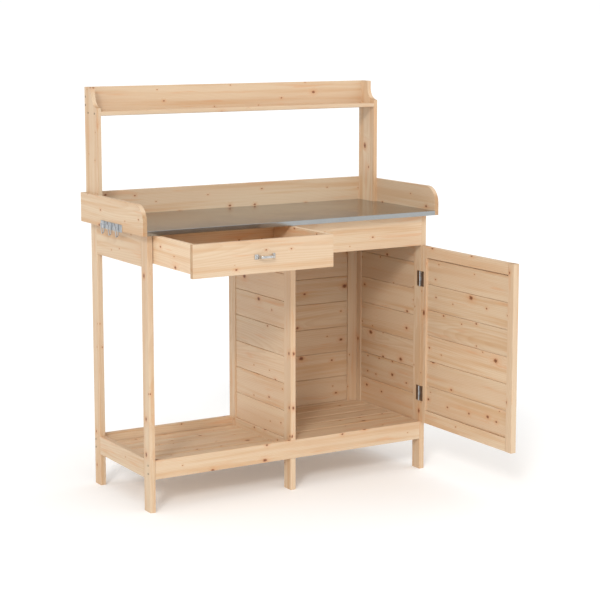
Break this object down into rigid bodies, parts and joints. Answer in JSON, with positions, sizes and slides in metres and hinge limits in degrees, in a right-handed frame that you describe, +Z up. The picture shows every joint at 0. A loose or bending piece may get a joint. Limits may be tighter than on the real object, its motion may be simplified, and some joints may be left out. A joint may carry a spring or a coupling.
{
  "type": "potting bench",
  "caption": "Softwood potting bench with a metal-faced worktop, side wings, high shelf, drawer, slatted lower shelf and a cabinet with a hinged door.",
  "frame": {"origin": "bottom centre of the box around the bench as it stands at rest, drawer pulled out and door open", "axes": "+X to the bench's right as seen from the front, +Y to its back, +Z up"},
  "size_m": [1.127, 0.9468, 1.332],
  "materials": {
    "softwood": "planed untreated softwood with knots",
    "worktop_metal": "smooth galvanised sheet",
    "hinge_steel": "dark burnished steel",
    "plated_steel": "zinc plated"
  },
  "bodies": {
    "bench": {"apron_front_right": "softwood", "backsplash": "softwood", "cabinet_back_battens": "softwood", "cabinet_back_planks": "softwood", "cabinet_divider_planks": "softwood", "cabinet_floor_slats": "softwood", "cabinet_side_planks": "softwood", "drawer_runner_left": "softwood", "drawer_runner_right": "softwood", "frame_screws": "plated_steel", "hinge_lower_leg_leaf": "hinge_steel", "hinge_lower_pin": "plated_steel", "hinge_upper_leg_leaf": "hinge_steel", "hinge_upper_pin": "plated_steel", "leg_back_left": "softwood", "leg_back_middle": "softwood", "leg_back_right": "softwood", "leg_front_left": "softwood", "leg_front_middle": "softwood", "leg_front_right": "softwood", "lower_rail_back": "softwood", "lower_rail_front": "softwood", "lower_rail_left": "softwood", "lower_rail_middle": "softwood", "lower_rail_right": "softwood", "shelf_slat_1": "softwood", "shelf_slat_2": "softwood", "shelf_slat_3": "softwood", "shelf_slat_4": "softwood", "shelf_slat_5": "softwood", "shelf_slat_6": "softwood", "slat_cleats": "softwood", "tool_hooks": "plated_steel", "top_shelf": "softwood", "top_shelf_back": "softwood", "upper_rail_back": "softwood", "upper_rail_left": "softwood", "upper_rail_middle": "softwood", "upper_rail_right": "softwood", "upright_left": "softwood", "upright_right": "softwood", "wing_left": "softwood", "wing_right": "softwood", "worktop_board": "softwood", "worktop_facing": "worktop_metal"},
    "drawer": {"drawer_back": "softwood", "drawer_bottom": "softwood", "drawer_front": "softwood", "drawer_handle": "plated_steel", "drawer_side_left": "softwood", "drawer_side_right": "softwood"},
    "door": {"door_handle": "plated_steel", "door_planks": "softwood", "door_rail_bottom": "softwood", "door_rail_top": "softwood", "door_stile_free_side": "softwood", "door_stile_hinge_side": "softwood", "hinge_lower_door_leaf": "hinge_steel", "hinge_upper_door_leaf": "hinge_steel"}
  },
  "joints": [
    {"name": "drawer_slide", "type": "slide", "parent": "bench", "child": "drawer", "axis": [0, -1, 0], "range_m": [-0.265, 0.03]},
    {"name": "door_hinge", "type": "hinge", "parent": "bench", "child": "door", "pos_m": [0.5131, 0.0383, 0.476], "axis": [0, 0, 1], "range_deg": [-90, 0]}
  ]
}
